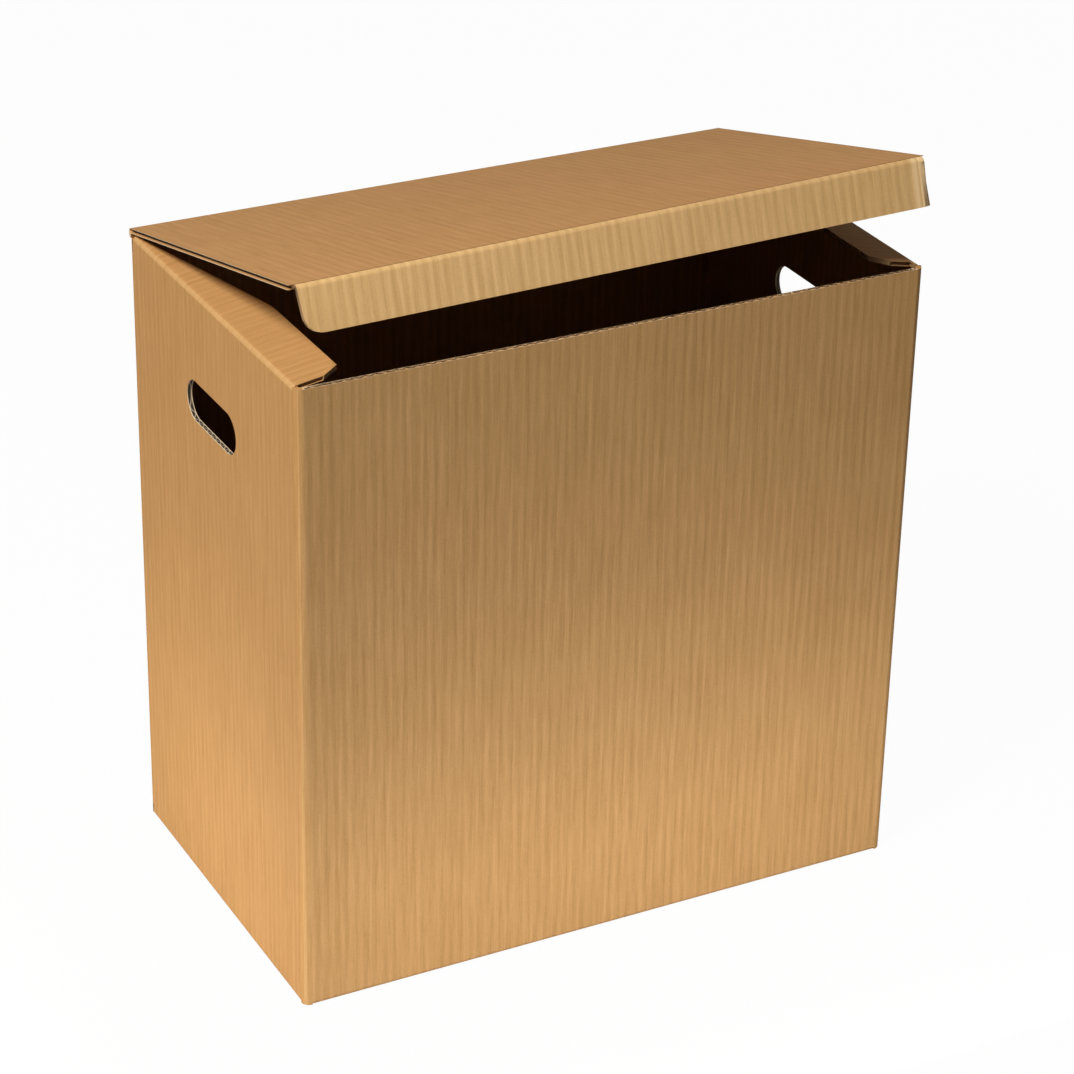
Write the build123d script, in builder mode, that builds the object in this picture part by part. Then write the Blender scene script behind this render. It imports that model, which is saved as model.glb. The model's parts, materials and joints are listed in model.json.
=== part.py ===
"""Hinged-lid shipping carton, folded from one sheet of single-wall corrugated board.

X runs along the front, Y to the back and Z up. The origin is at the centre of the footprint, on
the surface that the carton stands on. The lid is hinged along the back wall and carries a front
flap. Both stand as they are found, part open.
"""
import os
from math import cos, radians, sin, tan

from build123d import *

os.makedirs("parts", exist_ok=True)

# Outside size of the sleeve, and the height of the front wall's cut rim
length = 500
breadth = 303
rim_height = 500

# Single-wall board: two liners with a fluted medium glued between them
board = 3.8
liner = 0.5
medium = 0.45
flute_pitch = 7.85
flute_depth = 10

# A scored fold bends round a small inner radius
score_radius = 1.0
corner_radius = 2.5

# Air between two layers of board that lie on each other, and round a fold that moves
layer_gap = 0.3
hinge_gap = 0.3

# How far a folded strip runs on into the wall that it is part of
wall_join = 1

# Dust flaps on the end walls: how far their fold stands above the front wall's rim, their width
# and how far each one springs up
end_fold_rise = 1.3
dust_width = 36.5
dust_rise_left = 9
dust_rise_right = 12
dust_front_left = 5.5
dust_front_right = 11
dust_chamfer = 9
dust_chamfer_run = 14.4
dust_shoulder = 118
dust_taper_end = 20
dust_bend_radius = 70

# Hand hole in each end wall
hand_hole_length = 90
hand_hole_height = 32
hand_hole_drop = 84.3

# Lid: its score line stands above the front wall's rim, and it is long enough for the front flap
# to close outside the front wall
lid_fold_rise = 1.7
lid_front_gap = 0.8
lid_opening = 14.1
lid_twist = 1.2
edge_gap_depth = 2.5

# Front flap: its fold from the lid's plane, its depth below the score line and its worn right end
flap_fold = 84
flap_depth_left = 30.8
flap_depth_right = 32.2
flap_inset_left = 3.5
flap_inset_right = 3.3
flap_side_taper = 3.7
flap_corner_radius = 14
flap_worn_corner = 4
worn_end_flat = 5.5
worn_end_length = 6.5
worn_end_bend = 30
knuckle_sweep = 150

# Snap-lock bottom: the front flap's tongue passes the end flaps and lies on the back flap
tongue_width = 236
tongue_reach = 78
tongue_rise_start = 8
tongue_rise_run = 30
tongue_corner = 14
lock_clearance = 4
lock_notch_y = 42
back_shoulder_y = 13
front_shoulder_half = 150
end_lock_y = 60
ramp_foot = 2
end_ramp = 20
back_ramp = 40
flap_slot = 7
ramp_radius = 8
bottom_cut_gap = 1.5

# Glued joint: a tab on the right end wall lies inside the back wall
tab_width = 35
tab_end_gap = 9

layer = board + layer_gap
fold_radius = score_radius + board
outer_corner = corner_radius + board
half_length = length / 2
half_breadth = breadth / 2
inner_back = half_breadth - board
straight_x = half_length - outer_corner
straight_y = half_breadth - outer_corner
core = board - 2 * liner
end_fold_height = rim_height + end_fold_rise
lid_height = rim_height + lid_fold_rise
lid_panel_length = inner_back + half_breadth + lid_front_gap


def cell_outline(point_up):
    """One flute seen end on: the space between the medium and one liner."""
    slope = 2 * core / flute_pitch
    base = flute_pitch / 2 - medium / 2 * (1 + slope**2) ** 0.5 / slope
    peak = core - medium / 2 * (1 + slope**2) ** 0.5
    if point_up:
        return [(-base, 0), (base, 0), (0, peak)]
    return [(-base, core), (0, core - peak), (base, core)]


def flute_cells(plane, run, across):
    """Sketch of all flutes along a cut edge whose length is run, from the face at across."""
    count = int(run / flute_pitch)
    first = -(count - 1) / 2 * flute_pitch
    with BuildSketch(plane) as cells:
        for index in range(count):
            at = first + index * flute_pitch
            with Locations((at, across)):
                Polygon(*cell_outline(True), align=None)
            if index < count - 1:
                with Locations((at + flute_pitch / 2, across)):
                    Polygon(*cell_outline(False), align=None)
    return cells.sketch


def bent_strip(plane, path, radii, side, reach):
    """A strip of board bent along the path of its outer face, as wide as twice the reach."""
    with BuildPart() as strip:
        with BuildSketch(plane):
            with BuildLine():
                FilletPolyline(*path, radius=radii)
                offset(amount=board, side=side)
            make_face()
        extrude(amount=reach, both=True)
    return strip.part


def trimmed(strip, outline, radius=0, corners=()):
    """The strip cut to an outline that is drawn in plan, with some corners rounded."""
    with BuildPart() as flap:
        add(strip)
        with BuildSketch() as plan:
            with BuildLine():
                Polyline(*outline, close=True)
            make_face()
            if radius:
                near = [
                    v
                    for v in plan.vertices()
                    if any(abs(v.X - x) < board and abs(v.Y - y) < board for x, y in corners)
                ]
                fillet(near, radius)
        extrude(amount=2 * rim_height, mode=Mode.INTERSECT)
    return flap.part


# Bottom flap of the front wall, the outermost layer, with the tongue that locks the bottom
tongue_half = tongue_width / 2
tongue_level = 3 * layer
tongue_rise_end = tongue_rise_start + tongue_rise_run
front_path = [
    (-half_breadth, fold_radius + wall_join),
    (-half_breadth, 0),
    (tongue_rise_start, 0),
    (tongue_rise_end, tongue_level),
    (tongue_reach, tongue_level),
]
front_strip = bent_strip(
    Plane.YZ, front_path, [fold_radius, ramp_radius, ramp_radius], Side.LEFT, straight_x
)
ramp_clear = half_length - fold_radius - end_ramp - lock_clearance
front_side = [
    (straight_x, -half_breadth),
    (straight_x, -half_breadth + fold_radius),
    (ramp_clear, -half_breadth + fold_radius + end_ramp),
    (front_shoulder_half, tongue_rise_start),
    (tongue_half, tongue_rise_start),
    (tongue_half, tongue_reach - tongue_corner),
    (tongue_half - tongue_corner, tongue_reach),
]
front_outline = front_side + [(-x, y) for x, y in reversed(front_side)]
front_bottom = trimmed(front_strip, front_outline)

# Bottom flap of the back wall, the innermost layer, with the notch that the tongue drops through
back_foot = half_breadth - fold_radius - ramp_foot
back_path = [
    (half_breadth, fold_radius + wall_join),
    (half_breadth, 0),
    (back_foot, 0),
    (back_foot - back_ramp, 2 * layer),
    (back_shoulder_y, 2 * layer),
]
back_strip = bent_strip(
    Plane.YZ, back_path, [fold_radius, score_radius, ramp_radius], Side.RIGHT, straight_x
)
notch_half = tongue_half + lock_clearance
back_side = [
    (straight_x, half_breadth),
    (straight_x, half_breadth - fold_radius),
    (straight_x - end_ramp, half_breadth - fold_radius - back_ramp),
    (straight_x - end_ramp, back_shoulder_y + tongue_corner),
    (straight_x - end_ramp - tongue_corner, back_shoulder_y),
    (notch_half, back_shoulder_y),
    (notch_half, lock_notch_y),
]
back_outline = back_side + [(-x, y) for x, y in reversed(back_side)]
back_bottom = trimmed(back_strip, back_outline)

# Bottom flap of an end wall, the middle layer, cut away towards the front
end_foot = half_length - fold_radius - ramp_foot
end_path = [
    (half_length, fold_radius + wall_join),
    (half_length, 0),
    (end_foot, 0),
    (end_foot - end_ramp, layer),
    (notch_half, layer),
]
end_strip = bent_strip(
    Plane.XZ, end_path, [fold_radius, score_radius, ramp_radius], Side.RIGHT, straight_y
)
end_lead = -half_breadth + fold_radius + 2 * flap_slot
end_outline = [
    (half_length, -straight_y),
    (half_length - fold_radius, -straight_y),
    (half_length - fold_radius, end_lead),
    (half_length - fold_radius - end_ramp - flap_slot, end_lead + end_ramp),
    (notch_half, tongue_rise_start - flap_slot),
    (notch_half, end_lock_y),
    (half_length / 2 + notch_half / 2, straight_y - flap_slot),
    (half_length - fold_radius, straight_y - flap_slot),
    (half_length - fold_radius, straight_y),
    (half_length, straight_y),
]
end_bottom = trimmed(end_strip, end_outline)


def dust_flap(rise, front_gap):
    """The right end wall's dust flap: it springs up from its fold and narrows towards the back."""
    turn = radians(90 - rise)
    fold_start = end_fold_height - fold_radius * sin(turn)
    knee = fold_start + fold_radius * tan(turn / 2)
    tip = dust_width / cos(radians(rise))
    path = [
        (half_length, fold_start - wall_join),
        (half_length, knee),
        (half_length - dust_width, knee + dust_width * tan(radians(rise))),
    ]
    strip = bent_strip(Plane.XZ, path, [fold_radius], Side.LEFT, straight_y)
    front = front_gap - half_breadth
    edge = half_length - dust_width
    shoulder = front + dust_shoulder
    taper_end = half_breadth - dust_taper_end
    outline = [
        (half_length, -straight_y),
        (half_length - fold_radius, -straight_y),
        (half_length - fold_radius - wall_join, front),
        (edge + dust_chamfer_run, front),
        (edge, front + dust_chamfer),
        (edge, shoulder),
        (half_length - fold_radius, taper_end),
        (half_length - board, inner_back - board - hinge_gap),
        (half_length, inner_back - board - hinge_gap),
    ]
    flap = trimmed(strip, outline, dust_bend_radius, [(edge, shoulder)])

    # Flutes run from the fold to the free edge and are open there
    across = Plane(
        origin=(half_length, 0, knee),
        x_dir=(0, 1, 0),
        z_dir=(-cos(radians(rise)), 0, sin(radians(rise))),
    )
    count = int((taper_end - front) / flute_pitch)
    with BuildPart() as cells:
        for index in range(count):
            at = front + dust_chamfer + (index + 0.5) * flute_pitch
            beyond = max(0, at - shoulder) / (taper_end - shoulder)
            width = tip * (1 - beyond)
            if width > fold_radius + flute_depth:
                with BuildSketch(across.offset(width - flute_depth)):
                    with Locations((at, liner)):
                        Polygon(*cell_outline(True), align=None)
                    with Locations((at + flute_pitch / 2, liner)):
                        Polygon(*cell_outline(False), align=None)
                extrude(amount=2 * flute_depth)
        # The front edge is cut along a flute, so the liners stand apart there
        with BuildSketch(across.offset(fold_radius)):
            with Locations((front, board / 2)):
                Rectangle(2 * edge_gap_depth, core)
        extrude(amount=tip - dust_chamfer_run - fold_radius)
    with BuildPart() as cut:
        add(flap)
        add(cells.part, mode=Mode.SUBTRACT)
    return cut.part


right_dust = dust_flap(dust_rise_right, dust_front_right)
left_dust = dust_flap(dust_rise_left, dust_front_left).mirror(Plane.YZ)

with BuildPart() as carton_body:
    # Sleeve: four walls with rounded vertical folds, as high as the front wall's rim
    with BuildSketch(Plane.XY.offset(fold_radius)):
        RectangleRounded(length, breadth, outer_corner)
        RectangleRounded(length - 2 * board, breadth - 2 * board, corner_radius, mode=Mode.SUBTRACT)
    extrude(amount=rim_height - fold_radius)

    # The vertical folds run on down to the ends of the slots between the bottom flaps
    with BuildSketch(Plane.XY.offset(bottom_cut_gap)):
        RectangleRounded(length, breadth, outer_corner)
        RectangleRounded(length - 2 * board, breadth - 2 * board, corner_radius, mode=Mode.SUBTRACT)
        Rectangle(2 * straight_x, breadth, mode=Mode.SUBTRACT)
        Rectangle(length, 2 * straight_y, mode=Mode.SUBTRACT)
    extrude(amount=fold_radius - bottom_cut_gap)

    # The end walls stop at their folds, and the back wall stops below the lid's score line
    end_wall_top = end_fold_height - fold_radius - wall_join
    with BuildSketch(Plane.XY.offset(end_wall_top)):
        Rectangle(length, 2 * straight_y)
    extrude(amount=rim_height, mode=Mode.SUBTRACT)
    with BuildSketch(Plane.XY.offset(lid_height - layer)):
        with Locations((0, half_breadth)):
            Rectangle(length, 2 * outer_corner)
    extrude(amount=rim_height, mode=Mode.SUBTRACT)

    # Glued joint at the back right corner: the end wall folds in behind the back wall's cut end
    with BuildSketch(Plane.XY.offset(bottom_cut_gap)):
        with Locations((half_length, half_breadth)):
            Rectangle(2 * outer_corner, 2 * (outer_corner + board))
    extrude(amount=rim_height, mode=Mode.SUBTRACT)
    with BuildSketch(Plane.XY.offset(bottom_cut_gap)):
        with BuildLine():
            FilletPolyline(
                (half_length, straight_y - 2 * board),
                (half_length, inner_back),
                (half_length - tab_width, inner_back),
                radius=outer_corner,
            )
            offset(amount=board, side=Side.LEFT)
        make_face()
    extrude(amount=end_wall_top - bottom_cut_gap)
    with BuildSketch(Plane.XY.offset(bottom_cut_gap)):
        with Locations((straight_x, inner_back)):
            Rectangle(outer_corner, board, align=Align.MIN)
    extrude(amount=lid_height - layer - bottom_cut_gap)
    for foot in (bottom_cut_gap, end_wall_top - tab_end_gap):
        with BuildSketch(Plane.XY.offset(foot)):
            with Locations((straight_x - board, inner_back - board)):
                Rectangle(length, board, align=(Align.MAX, Align.MIN))
        extrude(amount=tab_end_gap, mode=Mode.SUBTRACT)

    add(front_bottom)
    add(back_bottom)
    add(end_bottom)
    add(end_bottom.mirror(Plane.YZ))
    add(right_dust)
    add(left_dust)

    # Hand holes through both end walls
    with BuildSketch(Plane.YZ):
        with Locations((0, rim_height - hand_hole_drop)):
            SlotOverall(hand_hole_length, hand_hole_height)
    extrude(amount=length, both=True, mode=Mode.SUBTRACT)

    # Open flutes along the front wall's rim
    rim_plane = Plane(origin=(0, -half_breadth, rim_height - flute_depth))
    add(flute_cells(rim_plane, 2 * straight_x, liner))
    extrude(amount=2 * flute_depth, mode=Mode.SUBTRACT)

carton_body.part.label = "carton_body"
export_step(carton_body.part, "parts/carton_body.step")

# Lid: one panel from its score line on the back wall to the front flap's score line. It has set
# with a slight twist, so its front right corner stands higher than its front left corner.
lid_rear = Plane(
    origin=(0, inner_back, lid_height),
    x_dir=(1, 0, 0),
    z_dir=(0, -cos(radians(lid_opening)), sin(radians(lid_opening))),
)
lid_front = Plane(
    origin=lid_rear.offset(lid_panel_length).origin,
    x_dir=lid_rear.x_dir.rotate(Axis((0, 0, 0), lid_rear.z_dir), lid_twist),
    z_dir=lid_rear.z_dir,
)
lid_front_side = Plane(origin=lid_front.origin, x_dir=lid_front.z_dir, z_dir=-lid_front.x_dir)

with BuildPart() as lid_panel:
    for section in (lid_rear, lid_front):
        with BuildSketch(section):
            Rectangle(length, board, align=(Align.CENTER, Align.MIN))
    loft(ruled=True)

    # The side edges are cut along the flutes, so the liners stand apart there
    for edge in (-length / 2, length / 2):
        for section in (lid_rear, lid_front):
            with BuildSketch(section):
                with Locations((edge, board / 2)):
                    Rectangle(2 * edge_gap_depth, core)
        loft(ruled=True, mode=Mode.SUBTRACT)

    # Rolled fold over the back wall's top, round the score line
    with BuildSketch(Plane(origin=lid_rear.origin, x_dir=(0, 1, 0), z_dir=(1, 0, 0))):
        with BuildLine():
            Line((0, 0), (0, -board))
            CenterArc((0, 0), board, -90, 180 - lid_opening)
            Line((0, 0), Vector(board, 0).rotate(Axis.Z, 90 - lid_opening))
        make_face()
    extrude(amount=length / 2, both=True)

    # Hollow seat for the front flap's rolled fold
    with BuildSketch(lid_front_side):
        Circle(board + hinge_gap)
    extrude(amount=length, both=True, mode=Mode.SUBTRACT)

lid_panel.part.label = "lid_panel"
export_step(lid_panel.part, "parts/lid_panel.step")

# Front flap: hangs from the lid's front fold, and its right end is bent back by wear
flap_left = -length / 2 + flap_inset_left
flap_right = length / 2 - flap_inset_right
flap_bend = flap_right - worn_end_flat
flap_middle = (flap_left + flap_corner_radius + flap_bend) / 2
fold = radians(flap_fold)
flap_down = lid_front.z_dir * cos(fold) - lid_front.y_dir * sin(fold)
flap_section = Plane(origin=lid_front.origin, x_dir=lid_front.x_dir, z_dir=flap_down)
flap_face = Plane(origin=lid_front.origin, x_dir=lid_front.x_dir, z_dir=flap_section.y_dir)
side_drift = flap_depth_left * tan(radians(flap_side_taper))

worn_bend = radians(worn_end_bend)
worn_inner = (
    flap_bend + worn_end_length * cos(worn_bend),
    -worn_end_length * sin(worn_bend),
)
worn_outer = (worn_inner[0] + board * sin(worn_bend), worn_inner[1] + board * cos(worn_bend))

with BuildPart() as front_flap:
    with BuildSketch(flap_section):
        with Locations((flap_left, 0)):
            Rectangle(flap_bend - flap_left, board, align=Align.MIN)
    extrude(amount=flap_depth_right)

    # Worn right end: flat at the fold, and bent back more and more towards the free edge
    with BuildSketch(flap_section):
        with BuildLine():
            Polyline(
                (flap_bend, 0),
                (flap_right, 0),
                (flap_right, board),
                (flap_bend + board * tan(worn_bend / 2), board),
                (flap_bend, board),
                close=True,
            )
        make_face()
    with BuildSketch(flap_section.offset(flap_depth_right)):
        with BuildLine():
            Polyline(
                (flap_bend, 0),
                worn_inner,
                worn_outer,
                (flap_bend + board * tan(worn_bend / 2), board),
                (flap_bend, board),
                close=True,
            )
        make_face()
    loft(ruled=True)

    # Outline of the flap, with its round left corner and the small worn one on the right
    with BuildSketch(flap_face) as flap_outline:
        with BuildLine():
            Polyline(
                (flap_left, 0),
                (flap_left + side_drift, -flap_depth_left),
                (worn_outer[0], -flap_depth_right),
                (worn_outer[0], 0),
                close=True,
            )
        make_face()
        corners = flap_outline.vertices().sort_by(Axis.Y)[:2].sort_by(Axis.X)
        fillet(corners[0], flap_corner_radius)
        fillet(corners[-1], flap_worn_corner)
    extrude(amount=2 * worn_end_length, both=True, mode=Mode.INTERSECT)

    # Rolled fold round the score line, from the flap's face back over into the lid's seat
    with BuildSketch(lid_front_side.offset(-flap_right)):
        with BuildLine():
            start = Vector(board, 0).rotate(Axis.Z, 90 - flap_fold)
            end = Vector(board, 0).rotate(Axis.Z, knuckle_sweep)
            Line((0, 0), start)
            CenterArc((0, 0), board, 90 - flap_fold, knuckle_sweep - 90 + flap_fold)
            Line(end, (0, 0))
        make_face()
    extrude(amount=flap_right - flap_left)

    # Open flutes along the free edge
    free_edge = Plane(
        origin=lid_front.origin
        + flap_section.x_dir * flap_middle
        + flap_down * (flap_depth_left - flute_depth),
        x_dir=flap_section.x_dir,
        z_dir=flap_down,
    )
    add(flute_cells(free_edge, flap_bend - flap_left - flap_corner_radius, liner))
    extrude(amount=2 * flute_depth, mode=Mode.SUBTRACT)

front_flap.part.label = "front_flap"
export_step(front_flap.part, "parts/front_flap.step")
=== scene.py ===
# %% [markdown]
# # A hinged-lid shipping carton
# The real carton is one sheet of corrugated board, cut, scored, folded and glued along one
# corner. Board is a sandwich: two paper liners with a wavy paper, the medium, glued between
# them. Its waves are called flutes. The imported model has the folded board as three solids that
# move: the body, the lid and the front flap. This script gives them the look of kraft board.

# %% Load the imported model
import json
from math import cos, pi, radians, sin

import bpy
from mathutils import Matrix, Vector

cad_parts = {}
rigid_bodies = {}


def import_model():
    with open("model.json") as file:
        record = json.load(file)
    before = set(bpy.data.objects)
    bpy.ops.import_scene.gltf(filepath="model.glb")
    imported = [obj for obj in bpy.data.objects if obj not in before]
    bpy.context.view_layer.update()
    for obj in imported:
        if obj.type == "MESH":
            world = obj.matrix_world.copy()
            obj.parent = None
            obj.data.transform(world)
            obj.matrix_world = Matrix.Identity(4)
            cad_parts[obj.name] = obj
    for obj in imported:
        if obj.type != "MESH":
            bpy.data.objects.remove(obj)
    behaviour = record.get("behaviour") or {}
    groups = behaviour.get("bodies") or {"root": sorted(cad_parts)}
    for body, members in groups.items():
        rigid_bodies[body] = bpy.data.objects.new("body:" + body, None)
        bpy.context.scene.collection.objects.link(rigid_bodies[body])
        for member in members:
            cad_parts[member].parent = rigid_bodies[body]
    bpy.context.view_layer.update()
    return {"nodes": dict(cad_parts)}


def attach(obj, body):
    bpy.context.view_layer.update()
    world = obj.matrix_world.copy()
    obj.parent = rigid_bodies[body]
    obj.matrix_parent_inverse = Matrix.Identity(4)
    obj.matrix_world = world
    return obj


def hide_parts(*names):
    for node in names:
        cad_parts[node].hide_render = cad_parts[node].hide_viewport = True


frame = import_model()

MM = 0.001

# %% [markdown]
# ## The camera
# The view was worked out from the carton's own corners: the lens, the place and the roll are
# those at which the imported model's corners fall where they do in a photograph of such a carton.
# A camera looks along its own -Z, with X to its right and Y up, so these three directions in
# the room are all that its rotation needs.

# %% Camera
camera_place, lens_mm, sensor_mm, view_depth = (-1.0856, -2.069, 1.4748), 115.43, 36, 100
azimuth, elevation, roll = radians(-28.0194), radians(27.3932), radians(1.2282)
forward = Vector(
    (-sin(azimuth) * cos(elevation), cos(azimuth) * cos(elevation), -sin(elevation))
)
level_right = forward.cross(Vector((0, 0, 1))).normalized()
level_up = level_right.cross(forward)
right = level_right * cos(roll) + level_up * sin(roll)
up = level_up * cos(roll) - level_right * sin(roll)

bpy.ops.object.camera_add(location=camera_place)
camera = bpy.context.object
camera.name = "camera"
camera.rotation_euler = Matrix((right, up, -forward)).transposed().to_euler()
camera.data.lens = lens_mm
camera.data.sensor_width = sensor_mm
camera.data.clip_end = view_depth
bpy.context.scene.camera = camera
print("camera lens", round(camera.data.lens, 2), "mm")

# %% [markdown]
# ## Colours and shader nodes
# Colours are written as on a paint chart, in sRGB hex. Blender's shaders work with light that
# adds up, so one function turns the hex value into linear numbers. A second one adds a node,
# fills in its settings and joins its inputs. A Mix node for colours takes its two colours at
# the inputs 6 and 7 and gives the result at its output 2.


# %% Colour and node helpers
def linear(hex_colour):
    """An sRGB hex colour as linear red, green, blue and alpha."""
    parts = [int(hex_colour[i : i + 2], 16) / 255 for i in (1, 3, 5)]
    return [p / 12.92 if p <= 0.04045 else ((p + 0.055) / 1.055) ** 2.4 for p in parts] + [1]


def add_node(tree, kind, settings=None, inputs=None):
    """Adds a node, gives it its settings, and fills or joins its inputs."""
    node = tree.nodes.new(kind)
    for name, value in (settings or {}).items():
        setattr(node, name, value)
    for name, value in (inputs or {}).items():
        if isinstance(value, bpy.types.NodeSocket):
            tree.links.new(value, node.inputs[name])
        else:
            node.inputs[name].default_value = value
    return node


def new_material(name):
    """An empty material with its output node."""
    material = bpy.data.materials.new(name)
    material.use_nodes = True
    material.node_tree.nodes.clear()
    output = material.node_tree.nodes.new("ShaderNodeOutputMaterial")
    return material, material.node_tree, output


print("kraft tan in linear light:", [round(v, 3) for v in linear("#BD8F5C")[:3]])

# %% [markdown]
# ## The floor
# The carton stands on a white sweep, as for a catalogue picture. Sweep paper is matt, so it
# spreads light evenly and throws it back up onto the walls. The camera is shown plain white in
# its place, with a small share of the real paper left in, so that a faint shadow still shows.

# %% Floor
floor_radius, floor_drop, white_share = 3.0, 0.2 * MM, 0.975

# Matt white paper, which gives the eye an even ground with no shine
white_floor, tree, output = new_material("white_sweep_paper")
path = add_node(tree, "ShaderNodeLightPath")
paper = add_node(tree, "ShaderNodeBsdfDiffuse", inputs={"Color": linear("#C2C0BC")})
glow = add_node(tree, "ShaderNodeEmission", inputs={"Color": (1, 1, 1, 1), "Strength": 1.0})
seen = add_node(
    tree,
    "ShaderNodeMath",
    {"operation": "MULTIPLY"},
    {0: path.outputs["Is Camera Ray"], 1: white_share},
)
mixed = add_node(
    tree,
    "ShaderNodeMixShader",
    inputs={0: seen.outputs[0], 1: paper.outputs[0], 2: glow.outputs[0]},
)
tree.links.new(mixed.outputs[0], output.inputs["Surface"])

# The floor lies a little low, so that it never shares a plane with the carton's base
bpy.ops.mesh.primitive_circle_add(
    vertices=96, radius=floor_radius, fill_type="NGON", location=(0, 0, -floor_drop)
)
floor = bpy.context.object
floor.name = "floor"
floor.data.materials.append(white_floor)
print("floor across", round(floor.dimensions.x, 2), "m")

# %% [markdown]
# ## The room
# The room is dim, so the inside of the carton stays dark. All the same the camera sees white
# behind the carton, as on a catalogue page, and so does light that shines off a face or comes
# through one. A Light Path node tells these rays from the others, so no room has to be built.

# %% World
room_light = 0.06

world = bpy.data.worlds.new("dim_studio")
bpy.context.scene.world = world
world.use_nodes = True
tree = world.node_tree
tree.nodes.clear()
path = add_node(tree, "ShaderNodeLightPath")
dim = add_node(
    tree, "ShaderNodeBackground", inputs={"Color": (1, 1, 1, 1), "Strength": room_light}
)
white = add_node(tree, "ShaderNodeBackground", inputs={"Color": (1, 1, 1, 1), "Strength": 1.0})
sees_white = path.outputs["Is Camera Ray"]
for ray in ("Is Transmission Ray", "Is Glossy Ray"):
    sees_white = add_node(
        tree, "ShaderNodeMath", {"operation": "MAXIMUM"}, {0: sees_white, 1: path.outputs[ray]}
    ).outputs[0]
both = add_node(
    tree,
    "ShaderNodeMixShader",
    inputs={0: sees_white, 1: dim.outputs[0], 2: white.outputs[0]},
)
add_node(tree, "ShaderNodeOutputWorld", inputs={"Surface": both.outputs[0]})
print("world nodes:", len(tree.nodes))

# %% [markdown]
# ## The lamps
# One soft lamp stands high on the left in front and shapes the walls. Two weak strips lie low
# before the walls and lift their feet, as a bright table does. Area lamps are used because a
# wide lamp gives soft shadow edges. Each is told the point that it shines on and the direction
# in which it stands from there.


# %% Lamps
def softbox(name, middle, toward, distance, size, watts):
    """An area lamp, as wide and high as size says, that shines on a point from a direction."""
    middle = Vector(middle)
    place = middle + Vector(toward).normalized() * distance
    bpy.ops.object.light_add(type="AREA", location=place)
    lamp = bpy.context.object
    lamp.name = name
    lamp.data.shape = "RECTANGLE"
    lamp.data.size, lamp.data.size_y = size
    lamp.data.energy = watts
    lamp.rotation_euler = (middle - place).to_track_quat("-Z", "Y").to_euler()
    return lamp


strip_distance, strip_height = 0.26, 0.08
for row in (
    # Name, point, direction, distance, width and height, all in metres, and watts
    ("key_lamp", (0, 0, 0.25), (-0.573, -0.287, 0.767), 3.2, (0.6, 0.6), 112),
    ("front_foot_strip", (0, -0.15, 0.05), (0, -1, 0), strip_distance, (0.7, strip_height), 0.9),
    ("left_foot_strip", (-0.25, 0, 0.05), (-1, 0, 0), strip_distance, (0.4, strip_height), 0.6),
):
    lamp = softbox(*row)
    print(lamp.name, "at", [round(v, 2) for v in lamp.location])
bpy.context.scene.view_settings.view_transform = "Standard"

# %% [markdown]
# ## The washboard
# The flutes under a liner show through it as faint parallel ridges, the washboard effect. They
# are far too low to be worth a mesh, so a sine along one axis draws them in the material: as a
# bump, and as painted light and shade in the colour. A slow noise shifts the sine, because real
# ridges wander a little.

# %% Flutes that show through the liner
flute_pitch_mm, drift_mm, drift_turn = 7.85, 90, 3.0


def place_in_mm(tree):
    """Where a spot lies on the carton, in millimetres."""
    place = add_node(tree, "ShaderNodeTexCoord").outputs["Object"]
    return add_node(
        tree, "ShaderNodeMapping", inputs={"Vector": place, "Scale": (1000, 1000, 1000)}
    ).outputs[0]


def washboard_ridge(tree, in_mm, across):
    """One soft ridge for each flute, from -1 to 1, a little uneven along its length."""
    split = add_node(tree, "ShaderNodeSeparateXYZ", inputs={0: in_mm})
    drift = add_node(
        tree,
        "ShaderNodeTexNoise",
        inputs={"Vector": in_mm, "Scale": 1 / drift_mm, "Detail": 1.0},
    ).outputs["Fac"]
    turn = add_node(
        tree,
        "ShaderNodeMath",
        {"operation": "MULTIPLY"},
        {0: split.outputs[across], 1: 2 * pi / flute_pitch_mm},
    ).outputs[0]
    turn = add_node(
        tree, "ShaderNodeMath", {"operation": "MULTIPLY_ADD"}, {0: drift, 1: drift_turn, 2: turn}
    ).outputs[0]
    return add_node(tree, "ShaderNodeMath", {"operation": "SINE"}, {0: turn}).outputs[0]


print("flutes to a metre of board:", round(1000 / flute_pitch_mm))

# %% [markdown]
# ## Kraft liner
# Kraft liner is unbleached paper made of long wood fibres. It is matt, warm tan and a little
# cloudy, and its fibres lie along the machine's direction, which is also that of the flutes
# here. Layers of noise, each as wide as the thing it stands for, add up to the tone between a
# dark and a light tan. One function makes the material for any panel: it is told along which
# axis the flutes repeat.

# %% Layers of noise in the paper
streak_mm, fibre_stretch = 1.8, 0.04


def paper_layers(tree, in_mm, across):
    """The layers of the paper's tone, each a value round 0.5."""
    stretch = [1 if axis == across else fibre_stretch for axis in "XYZ"]
    along_fibres = add_node(
        tree, "ShaderNodeMapping", inputs={"Vector": in_mm, "Scale": stretch}
    ).outputs[0]
    layers = {}
    for layer, where, width_mm, detail, roughness in (
        # Clouds, where the pulp lies thicker or thinner
        ("clouds", in_mm, 60, 4.0, 0.6),
        # Streaks of fibres, which lie along the flutes
        ("streaks", along_fibres, streak_mm, 3.0, 0.65),
        # Single fibres and specks, drawn this coarse so that they show
        ("specks", in_mm, 0.9, 2.0, 0.7),
        # Patches 125 mm long, in which the washboard fades as the glue holds more or less
        ("patches", along_fibres, 5, 1.0, 0.5),
    ):
        layers[layer] = add_node(
            tree,
            "ShaderNodeTexNoise",
            inputs={
                "Vector": where,
                "Scale": 1 / width_mm,
                "Detail": detail,
                "Roughness": roughness,
            },
        ).outputs["Fac"]
    return layers


print("streaks:", streak_mm, "mm wide and", round(streak_mm / fibre_stretch), "mm long")

# %% Kraft liner material
relief_height = 0.08 * MM


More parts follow.
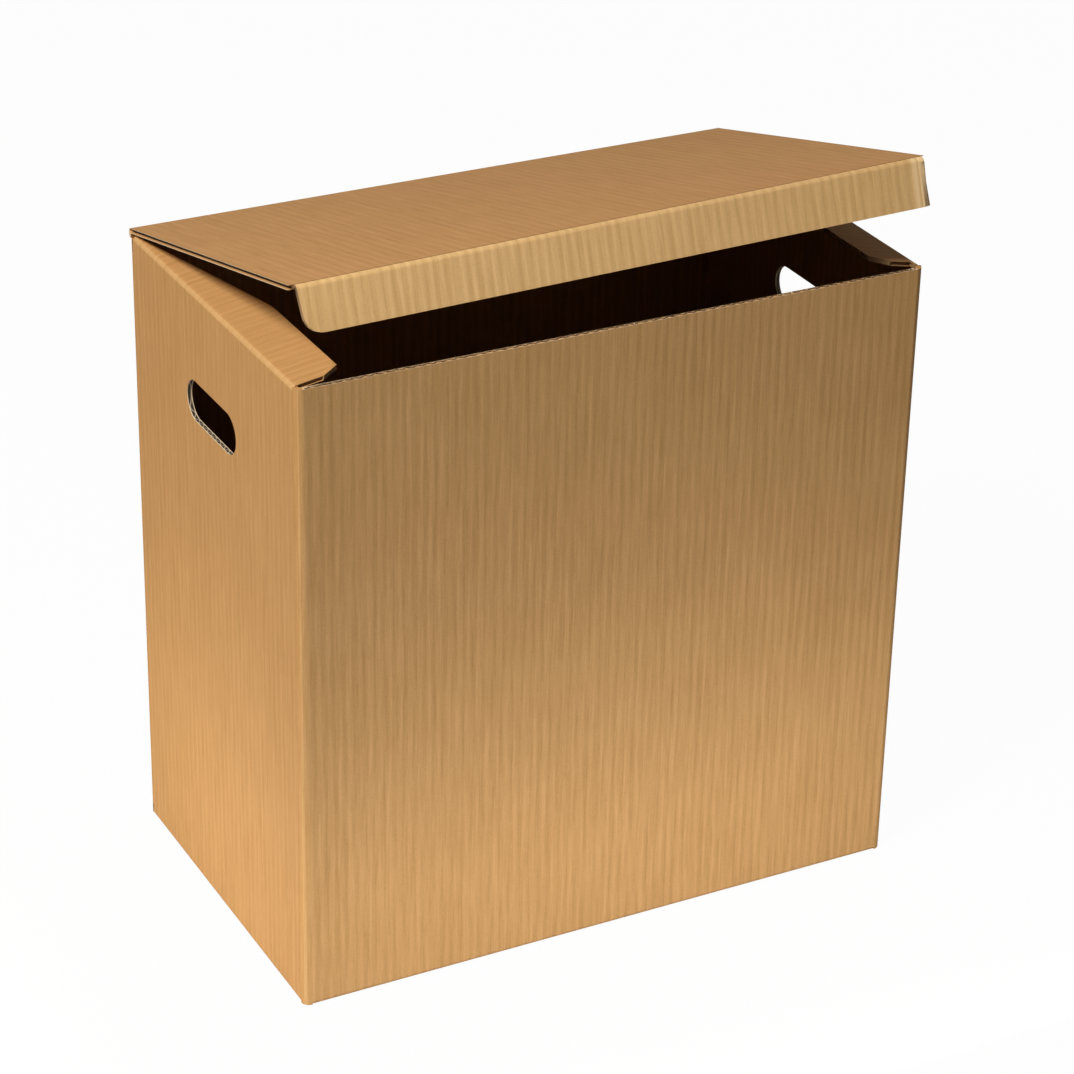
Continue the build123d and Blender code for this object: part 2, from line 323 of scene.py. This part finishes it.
def kraft_liner(name, light_hex, dark_hex, across, washboard):
    """Matt kraft paper: clouds, fibres and the washboard of the flutes below it."""
    material, tree, output = new_material(name)
    in_mm = place_in_mm(tree)
    layers = paper_layers(tree, in_mm, across)
    ridge = washboard_ridge(tree, in_mm, across)
    # The ridges also make the colour lighter and darker across the flutes, painted light and shade
    # of the relief that the bump gives them
    line = add_node(
        tree, "ShaderNodeMath", {"operation": "MULTIPLY"}, {0: ridge, 1: layers["patches"]}
    ).outputs[0]

    # The layers add up to about 1.1, and the start brings that to the middle tone, 0.5
    tone = -0.6
    for layer, share in (
        (layers["clouds"], 0.25),
        (layers["streaks"], 1.2),
        (layers["specks"], 0.75),
        (line, washboard),
    ):
        tone = add_node(
            tree,
            "ShaderNodeMath",
            {"operation": "MULTIPLY_ADD", "use_clamp": layer is line},
            {0: layer, 1: share, 2: tone},
        ).outputs[0]
    colour = add_node(
        tree,
        "ShaderNodeMix",
        {"data_type": "RGBA"},
        {"Factor": tone, 6: linear(dark_hex), 7: linear(light_hex)},
    ).outputs[2]

    # Fibres and ridges catch the light by less than a tenth of a millimetre
    relief = 0.0
    for layer, share in ((layers["streaks"], 0.35), (ridge, 0.5)):
        relief = add_node(
            tree, "ShaderNodeMath", {"operation": "MULTIPLY_ADD"}, {0: layer, 1: share, 2: relief}
        ).outputs[0]
    bump = add_node(
        tree,
        "ShaderNodeBump",
        inputs={"Strength": 1.0, "Distance": relief_height, "Height": relief},
    ).outputs[0]
    paper = add_node(
        tree,
        "ShaderNodeBsdfPrincipled",
        inputs={
            "Base Color": colour,
            "Roughness": 0.82,
            "IOR": 1.5,
            "Specular IOR Level": 0.3,
            "Normal": bump,
        },
    )
    tree.links.new(paper.outputs[0], output.inputs["Surface"])
    return material


# %% The carton's papers
# Front and back walls: warm tan, with flutes that repeat along X
kraft_front = kraft_liner("kraft_liner_front", "#C69A65", "#A27944", "X", 0.2)
# End walls and dust flaps: a redder tan, with flutes that repeat along Y
kraft_end = kraft_liner("kraft_liner_end", "#C1915A", "#A0733C", "Y", 0.18)
# Lid: a shade darker than the walls, painted shade on the same paper
kraft_lid = kraft_liner("kraft_liner_lid", "#BF8D58", "#9D713D", "X", 0.18)
# Front flap: the palest panel, partly a paler paper and partly painted light, with the strongest
# washboard
kraft_flap = kraft_liner("kraft_liner_flap", "#DFB57C", "#BC935A", "X", 0.28)
# Folds: paler than the walls, a painted highlight, and with little of the flutes' washboard
fold_highlight_paper = kraft_liner("kraft_liner_fold_highlight", "#CBA069", "#AC814C", "Y", 0.1)
papers = (kraft_front, kraft_end, kraft_lid, kraft_flap, fold_highlight_paper)
print("kraft materials:", *(paper.name for paper in papers))

# %% [markdown]
# ## Cut edges
# Where the board is cut, the liners' edges show as pale lines, because torn fibres are lighter
# than the pressed face, and the medium between them lies in shadow. The edge's own shape is in
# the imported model, so the material only adds the fuzz: noise in the colour and in a weak bump.

# %% Cut edge material
# Real fuzz is finer than this. About 1.1 mm is as coarse as it needs to be to show.
grains_per_metre, fuzz_height = 900.0, 0.1 * MM

# Torn kraft fibres, which give the eye a pale, rough line
edge_paper, tree, output = new_material("cut_board_edge")
place = add_node(tree, "ShaderNodeTexCoord").outputs["Object"]
fuzz = add_node(
    tree,
    "ShaderNodeTexNoise",
    inputs={"Vector": place, "Scale": grains_per_metre, "Detail": 2.0, "Roughness": 0.7},
).outputs["Fac"]
colour = add_node(
    tree,
    "ShaderNodeMix",
    {"data_type": "RGBA"},
    {"Factor": fuzz, 6: linear("#B8956A"), 7: linear("#E4CDA8")},
).outputs[2]
bump = add_node(
    tree, "ShaderNodeBump", inputs={"Strength": 0.6, "Distance": fuzz_height, "Height": fuzz}
).outputs[0]
paper = add_node(
    tree,
    "ShaderNodeBsdfPrincipled",
    inputs={"Base Color": colour, "Roughness": 0.85, "IOR": 1.5, "Normal": bump},
)
tree.links.new(paper.outputs[0], output.inputs["Surface"])
print("edge material:", edge_paper.name)

# %% [markdown]
# ## The section in the hand holes
# A hand hole is punched through the end wall, so its rim shows the whole section: two thin
# liners, and between them the wave of the medium before the hollow flutes. The hollows are a
# painted shadow, and the medium is painted part way into that shade. Cutting each wave as a mesh
# would give thousands of faces for a rim of a few millimetres, so the section is drawn.
# The wall's thickness lies along X, so the distance from its middle tells which paper shows.

# %% Which paper shows in the section
section_middle_mm, half_board_mm, half_core_mm = 248.1, 1.9, 1.4
# The real medium is thinner than 0.9 mm, and this is as thick as it needs to be to show
# The medium gets only part of the pale colour, so it lies part way in the painted shadow
wave_reach_mm, half_medium_mm, medium_lit_share = 1.2, 0.45, 0.45

# Punched board, which gives the eye two pale lines with a broken one between them, on painted
# shadow
board_section, tree, output = new_material("cut_board_section")
split = add_node(tree, "ShaderNodeSeparateXYZ", inputs={0: place_in_mm(tree)})
away = add_node(
    tree, "ShaderNodeMath", {"operation": "ABSOLUTE"}, {0: split.outputs["X"]}
).outputs[0]
from_middle = add_node(
    tree, "ShaderNodeMath", {"operation": "SUBTRACT"}, {0: away, 1: section_middle_mm}
).outputs[0]
depth = add_node(tree, "ShaderNodeMath", {"operation": "ABSOLUTE"}, {0: from_middle}).outputs[0]
in_liner = add_node(
    tree, "ShaderNodeMath", {"operation": "GREATER_THAN"}, {0: depth, 1: half_core_mm}
).outputs[0]
turn = add_node(
    tree,
    "ShaderNodeMath",
    {"operation": "MULTIPLY"},
    {0: split.outputs["Y"], 1: 2 * pi / flute_pitch_mm},
).outputs[0]
wave = add_node(tree, "ShaderNodeMath", {"operation": "SINE"}, {0: turn}).outputs[0]
wave_mm = add_node(
    tree, "ShaderNodeMath", {"operation": "MULTIPLY"}, {0: wave, 1: wave_reach_mm}
).outputs[0]
in_medium = add_node(
    tree,
    "ShaderNodeMath",
    {"operation": "COMPARE"},
    {0: from_middle, 1: wave_mm, 2: half_medium_mm},
).outputs[0]
medium_tone = add_node(
    tree, "ShaderNodeMath", {"operation": "MULTIPLY"}, {0: in_medium, 1: medium_lit_share}
).outputs[0]
shows_paper = add_node(
    tree, "ShaderNodeMath", {"operation": "MAXIMUM"}, {0: in_liner, 1: medium_tone}
).outputs[0]
print("a liner is", round(half_board_mm - half_core_mm, 2), "mm thick in the section")

# %% Colours of the section
# The dark colour is painted shadow in the hollow flutes, and the pale one is the cut paper
colour = add_node(
    tree,
    "ShaderNodeMix",
    {"data_type": "RGBA"},
    {"Factor": shows_paper, 6: linear("#2E2115"), 7: linear("#E4CDA8")},
).outputs[2]
paper = add_node(
    tree, "ShaderNodeBsdfPrincipled", inputs={"Base Color": colour, "Roughness": 0.85, "IOR": 1.5}
)
tree.links.new(paper.outputs[0], output.inputs["Surface"])
print("section material:", board_section.name)

# %% [markdown]
# ## Cuts along the flutes
# A cut that runs along the flutes opens one of them lengthways. The edge is darker than one
# across the flutes, and between the liners lies a dark groove. Both are plain rough paper of
# one colour, because nothing of their fibres can be seen in that shade.


# %% Shaded papers
def shaded_paper(name, hex_colour, roughness):
    """Rough paper of one plain colour."""
    material, tree, output = new_material(name)
    paper = add_node(
        tree,
        "ShaderNodeBsdfPrincipled",
        inputs={"Base Color": linear(hex_colour), "Roughness": roughness, "IOR": 1.5},
    )
    tree.links.new(paper.outputs[0], output.inputs["Surface"])
    return material


# Edge of a side that is cut along the flutes, which gives the eye a brown line
shaded_edge = shaded_paper("cut_edge_along_flutes", "#8E6C45", 0.85)
# Medium between the liners, which gives the eye a dark groove
dark_core = shaded_paper("shadowed_board_core", "#3B2A1A", 0.9)
print("shaded papers:", shaded_edge.name, dark_core.name)

# %% [markdown]
# ## The folded board
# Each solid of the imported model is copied, and its loose triangles are merged into one skin.
# Its shape is the real one, so nothing is modelled again. Faces are then chosen by their place
# and direction, and given the paper that shows there. A face's normal says where it looks: a
# part near 1 along an axis is a straight look along it, and a part near 0 a look past it.

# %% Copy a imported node
merge_distance = 0.01 * MM


def pick(piece):
    """Makes a piece the only one that is selected, and the one that tools act on."""
    bpy.ops.object.select_all(action="DESELECT")
    piece.select_set(True)
    bpy.context.view_layer.objects.active = piece


def board_skin(name, node_name, materials):
    """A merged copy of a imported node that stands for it, with a list of materials."""
    source = frame["nodes"][node_name]
    skin = bpy.data.objects.new(name, source.data.copy())
    bpy.context.scene.collection.objects.link(skin)
    skin.data.materials.clear()
    for material in materials:
        skin.data.materials.append(material)
    pick(skin)
    bpy.ops.object.mode_set(mode="EDIT")
    bpy.ops.mesh.select_all(action="SELECT")
    bpy.ops.mesh.remove_doubles(threshold=merge_distance)
    bpy.ops.object.mode_set(mode="OBJECT")
    return skin


def assign(skin, slot, chosen):
    """Gives a material slot to each face whose middle and normal pass the test."""
    count = 0
    for face in skin.data.polygons:
        if chosen(face.center / MM, face.normal):
            face.material_index = slot
            count += 1
    return count


print("packed nodes:", *sorted(frame["nodes"]))

# %% [markdown]
# ## The body
# The body is four walls, the dust flaps on the end walls, the bottom flaps and the glued tab.
# One paper for all of it would look flat. On the real board the flutes of the end walls repeat
# the other way and each cut shows the section, so these get papers of their own. The folds get
# a paler paper too, a painted highlight where the rounded folds turn towards the light.

# %% Body of the carton
half_length, half_breadth, rim, board = 250, 151.5, 500, 3.8

body_papers = [kraft_front, kraft_end, edge_paper, fold_highlight_paper, board_section, shaded_edge]
body = board_skin("carton_board", "carton_body", body_papers)
print("body faces:", len(body.data.polygons))

# %% End walls and folds of the body
end_zone, dust_zone, dust_inner = half_length - 8, rim - 6, 205
corner_round, fold_rise, fold_run = 2.5, 4, 5


def on_end_board(at, normal):
    """End walls and dust flaps, whose flutes repeat along Y."""
    end_wall = abs(at.x) > end_zone and abs(normal.x) > 0.5
    dust_flap = at.z > dust_zone and abs(at.x) > dust_inner
    return end_wall or dust_flap


def on_fold(at, normal):
    """The outer side of the rounded corners and of the dust flaps' folds."""
    at_end = abs(at.x) > half_length - corner_round
    corner = at_end and abs(at.y) > half_breadth - corner_round
    slanted = abs(normal.x) > 0.08 and abs(normal.y) > 0.08
    top_fold = abs(at.x) > half_length - fold_run and at.z > rim - fold_rise
    outer_side = 0.3 < normal.z < 0.85 and normal.x * at.x > 0
    return (corner and slanted and at.z < rim) or (top_fold and outer_side)


print("end board faces:", assign(body, 1, on_end_board))
# The folds get the paler paper, a painted highlight along them
print("fold faces:", assign(body, 3, on_fold))

# %% Cut edges of the body
rim_depth, rim_end, end_inside = 11, 244, 246
hole_low, hole_high, hole_half = 396, 434, 46


def on_rim(at, normal):
    """The front rim, cut across the flutes, down to the bottom of its open flutes."""
    in_front = at.y < -half_breadth + board and abs(at.x) < rim_end
    return in_front and at.z > rim - rim_depth and abs(normal.y) < 0.6


def in_hand_hole(at, normal):
    """The punched rims of the two hand holes."""
    in_hole = hole_low < at.z < hole_high and abs(at.y) < hole_half
    return abs(at.x) > end_inside and in_hole and abs(normal.x) < 0.3


def on_dust_edge(at, normal):
    """The dust flaps' front ends, chamfers and inner edges."""
    front = abs(at.x) > dust_inner and normal.y < -0.8
    inner = dust_inner < abs(at.x) < end_inside and normal.x * at.x < 0
    return at.z > rim - fold_rise and (front or (inner and abs(normal.z) < 0.5))


print("front rim faces:", assign(body, 2, on_rim))
print("hand hole faces:", assign(body, 4, in_hand_hole))
print("dust flap edge faces:", assign(body, 5, on_dust_edge))
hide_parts("carton_body")
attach(body, "carton")

# %% [markdown]
# ## The lid
# The lid is one panel that folds up from the back wall. Its side edges are cut along the
# flutes: the liners stand as two lines, and the medium lies 2.5 mm back between them. That
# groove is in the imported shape, so the lid only needs the right paper on each face.

# %% Lid
lid = board_skin("lid_board", "lid_panel", [kraft_lid, edge_paper, dark_core])
lid_edge_zone, liner_edge_start = half_length - 6, half_length - 1.5


def on_lid_cut(at, normal):
    """The lid's side edges, cut along the flutes."""
    return abs(at.x) > lid_edge_zone and abs(normal.x) > 0.5


def in_lid_core(at, normal):
    """The medium along the side edges, back from the liners' edges."""
    return on_lid_cut(at, normal) and abs(at.x) < liner_edge_start


print("lid edge faces:", assign(lid, 1, on_lid_cut))
print("lid core faces:", assign(lid, 2, in_lid_core))
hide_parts("lid_panel")
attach(lid, "lid")

# %% [markdown]
# ## The front flap's worn end
# The front flap's right end has been bent back again and again. Its colour is made paler along
# the crease and beyond it; past the crease that is painted light, which lifts the bent end out
# of its shade. The crease follows one line of X, so the flap's own material gets one more colour
# there, and no extra piece has to lie on the board.

# %% Pale crease and painted light on the bent end
crease_mm, crease_half_mm, crease_rise, end_mm, end_light_share = 238.0, 3.4, 0.28, 241.2, 0.8

tree = kraft_flap.node_tree
paper = next(node for node in tree.nodes if node.type == "BSDF_PRINCIPLED")
split = next(node for node in tree.nodes if node.type == "SEPXYZ")
plain_flap_colour = paper.inputs["Base Color"].links[0].from_socket
beside = add_node(
    tree, "ShaderNodeMath", {"operation": "SUBTRACT"}, {0: split.outputs["X"], 1: crease_mm}
).outputs[0]
from_crease = add_node(tree, "ShaderNodeMath", {"operation": "ABSOLUTE"}, {0: beside}).outputs[0]
inside_crease = add_node(
    tree, "ShaderNodeMath", {"operation": "SUBTRACT"}, {0: crease_half_mm, 1: from_crease}
).outputs[0]
crease = add_node(
    tree, "ShaderNodeMath", {"operation": "MULTIPLY"}, {0: inside_crease, 1: crease_rise}
).outputs[0]
# Past the crease the bent end is made paler, painted light that lifts it out of its shade
past_end = add_node(
    tree, "ShaderNodeMath", {"operation": "GREATER_THAN"}, {0: split.outputs["X"], 1: end_mm}
).outputs[0]
beyond = add_node(
    tree, "ShaderNodeMath", {"operation": "MULTIPLY"}, {0: past_end, 1: end_light_share}
).outputs[0]
pale_crease_and_lit_end = add_node(
    tree, "ShaderNodeMath", {"operation": "MAXIMUM"}, {0: crease, 1: beyond}
).outputs[0]
# Mixed towards a pale tan: a paler band along the crease, and painted light on the bent end
crease_and_lit_end_colour = add_node(
    tree, "ShaderNodeMix", {"data_type": "RGBA"}, {"Factor": pale_crease_and_lit_end, 6: plain_flap_colour, 7: linear("#F0CD98")}
).outputs[2]
tree.links.new(crease_and_lit_end_colour, paper.inputs["Base Color"])
print("palest at the crease:", round(crease_half_mm * crease_rise, 2))

# %% [markdown]
# ## The front flap's whole face and open edge
# The outer liner of the real flap is unbroken, and its flutes open only at the free edge. On the
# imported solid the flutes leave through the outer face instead. Here the copy gets the real form:
# the flat outer face is taken off, the pockets behind it come loose and are deleted, and new
# faces close the rim. The open flutes are then cut into the free edge.

# %% Copy the front flap
flap = board_skin("front_flap_board", "front_flap", [kraft_flap, edge_paper, shaded_edge])

# The flap leans, so its own directions are used: along its fold, out of its face, and down it
score_middle = Vector((0, -143.262, 574.785)) * MM
along = Vector((0.999781, 0.005102, 0.020311))
outward = Vector((-0.0022, -0.9391, 0.3436))
outward = (outward - along * outward.dot(along)).normalized()
downward = along.cross(outward)
print("flap faces:", len(flap.data.polygons), "and down it is", [round(v, 3) for v in downward])

# %% Close the outer face
parallel, level_slack = 0.9995, 0.05


def edit_faces(piece, chosen):
    """Selects the faces that pass a test and leaves the piece in edit mode."""
    pick(piece)
    bpy.ops.object.mode_set(mode="EDIT")
    bpy.ops.mesh.select_mode(type="FACE")
    bpy.ops.mesh.select_all(action="DESELECT")
    bpy.ops.object.mode_set(mode="OBJECT")
    count = 0
    for face in piece.data.polygons:
        face.select = chosen(face)
        count += face.select
    bpy.ops.object.mode_set(mode="EDIT")
    return count


def level_of(face):
    """How far out from the score line a face lies, in mm."""
    return (face.center - score_middle).dot(outward) / MM


def on_outer_face(face):
    """The flap's flat outer face, one board thickness out from the score line."""
    return face.normal.dot(outward) > parallel and abs(level_of(face) - board) < level_slack


def on_inner_face(face):
    """The flap's flat inner face, level with the score line."""
    return face.normal.dot(outward) < -parallel and abs(level_of(face)) < level_slack


print("outer faces taken off:", edit_faces(flap, on_outer_face))
bpy.ops.mesh.delete(type="FACE")
bpy.ops.object.mode_set(mode="OBJECT")
print("inner faces:", edit_faces(flap, on_inner_face))
bpy.ops.mesh.select_linked()
bpy.ops.mesh.select_all(action="INVERT")
bpy.ops.mesh.delete(type="FACE")
bpy.ops.mesh.select_mode(type="EDGE")
bpy.ops.mesh.select_all(action="DESELECT")
bpy.ops.mesh.select_non_manifold()
bpy.ops.mesh.edge_face_add()
bpy.ops.mesh.select_mode(type="FACE")
bpy.ops.object.mode_set(mode="OBJECT")
new_faces = [face for face in flap.data.polygons if face.select]
print("new faces, in square mm:", [round(face.area / MM**2, 1) for face in new_faces])
if new_faces[0].normal.dot(outward) < 0:
    # Only the new faces are turned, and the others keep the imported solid's own direction
    bpy.ops.object.mode_set(mode="EDIT")
    bpy.ops.mesh.flip_normals()
    bpy.ops.object.mode_set(mode="OBJECT")

# %% [markdown]
# ## Open flutes in the free edge
# Each flute is a long space with a triangle as its end: the medium runs from one liner to the
# other and back. One such prism is made for each liner and repeated at the flutes' pitch, and
# all of them are cut out of the free edge in one go, which leaves true walls to catch the light.

# %% A row of flutes
liner_mm, core_mm, flute_base_mm, flute_peak_mm = 0.5, 2.8, 7.075, 2.524
first_flute_mm, flute_count, cut_middle_mm, cut_length_mm = -227.225, 60, 30.8, 20


def flute_row(name, count, first, base_level, half_turn):
    """A row of triangular prisms, with their bases on one liner."""
    # A three-sided prism of radius 1 is 1.5 high and the square root of 3 wide, and its middle
    # lies 0.5 from its base
    width, height = flute_base_mm / 3**0.5, flute_peak_mm / 1.5
    level = base_level - 0.5 * height if half_turn else base_level + 0.5 * height
    bpy.ops.object.select_all(action="DESELECT")
    bpy.ops.mesh.primitive_cylinder_add(
        vertices=3,
        radius=MM,
        depth=cut_length_mm * MM,
        location=(first * MM, level * MM, cut_middle_mm * MM),
        rotation=(0, 0, pi if half_turn else 0),
    )
    row = bpy.context.object
    row.name = name
    row.scale = (width, height, 1)
    bpy.ops.object.transform_apply(location=True, rotation=True, scale=True)
    repeat = row.modifiers.new("repeat", "ARRAY")
    repeat.use_relative_offset = False
    repeat.use_constant_offset = True
    repeat.constant_offset_displace = (flute_pitch_mm * MM, 0, 0)
    repeat.count = count
    bpy.ops.object.modifier_apply(modifier="repeat")
    return row


# The inner row has its bases on the inner liner, and the outer row, between them, on the outer
inner_row = flute_row("inner_flutes", flute_count, first_flute_mm, liner_mm, False)
outer_row = flute_row(
    "outer_flutes",
    flute_count - 1,
    first_flute_mm + flute_pitch_mm / 2,
    liner_mm + core_mm,
    True,
)
pick(inner_row)
outer_row.select_set(True)
bpy.ops.object.join()
levels = sorted({round(v.co.y / MM, 3) for v in inner_row.data.vertices})
print("flute corners at", levels, "mm from the inner face")

# %% Cut the flutes out of the flap
into_flap = Matrix((along, outward, downward)).transposed().to_4x4()
into_flap.translation = score_middle
inner_row.matrix_world = into_flap
bpy.ops.object.transform_apply(location=True, rotation=True, scale=True)

pick(flap)
cut = flap.modifiers.new("open_flutes", "BOOLEAN")
cut.operation = "DIFFERENCE"
cut.solver = "EXACT"
cut.object = inner_row
bpy.ops.object.modifier_apply(modifier="open_flutes")
pick(inner_row)
bpy.ops.object.delete()
print("flap faces with open flutes:", len(flap.data.polygons))


# %% Papers of the front flap
def on_flap_cut(at, normal):
    """The free edge, cut across the flutes."""
    return normal.z < -0.7


def on_flap_side(at, normal):
    """The two sides, cut along the flutes."""
    return abs(normal.x) > 0.8


print("flap free edge faces:", assign(flap, 1, on_flap_cut))
print("flap side faces:", assign(flap, 2, on_flap_side))
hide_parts("front_flap")
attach(flap, "flap")

# %% [markdown]
# ## Smooth folds between flat panels
# A fold is a row of narrow faces, and a panel is one large face. Smoothed alone, the fold's
# slant would spread over the panel as a false shadow. Normals weighted by area keep the panels
# flat and leave the curve to the fold.

# %% Smooth the rounded folds
fold_step, full_weight = radians(28), 100

for skin in (body, lid, flap):
    pick(skin)
    bpy.ops.object.shade_smooth_by_angle(angle=fold_step)
    even = skin.modifiers.new("flat_panels", "WEIGHTED_NORMAL")
    even.mode = "FACE_AREA"
    even.weight = full_weight
    even.keep_sharp = True
    bpy.ops.object.modifier_apply(modifier="flat_panels")
    print(skin.name, len(skin.data.polygons), "faces")
